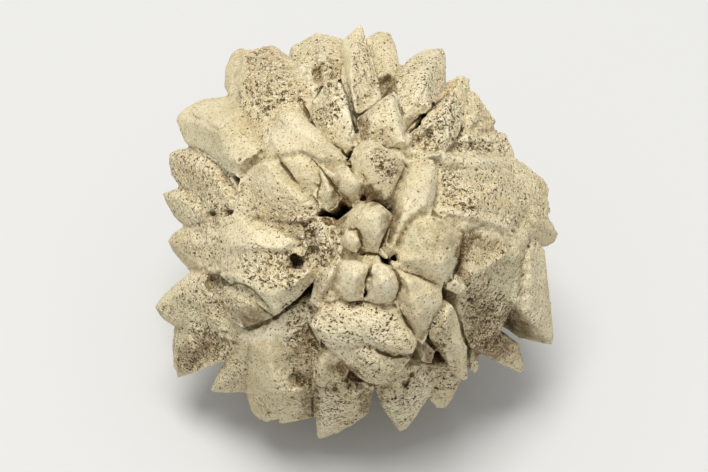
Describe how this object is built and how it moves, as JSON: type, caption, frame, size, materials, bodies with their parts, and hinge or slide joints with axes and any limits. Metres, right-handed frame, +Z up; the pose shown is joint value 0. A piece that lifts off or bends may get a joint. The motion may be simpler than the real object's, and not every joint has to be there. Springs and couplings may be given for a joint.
{
  "type": "glendonite cluster",
  "caption": "Ball-shaped cluster of blunt, pitted, cream-coloured calcite blades grown together, resting on worn crystal tips.",
  "frame": {"origin": "on the resting surface, under the middle of the cluster's bounding box", "axes": "+Z up, -Y towards the viewer who looks down on the crown, +X to that viewer's right and along the cluster's longest side"},
  "size_m": [0.0804, 0.0796, 0.0778],
  "materials": {
    "weathered_calcite": "dry, matt, porous calcite, cream with ochre and grey-green stains and dark pits"
  },
  "bodies": {
    "root": {"glendonite_cluster": "weathered_calcite"}
  },
  "joints": []
}
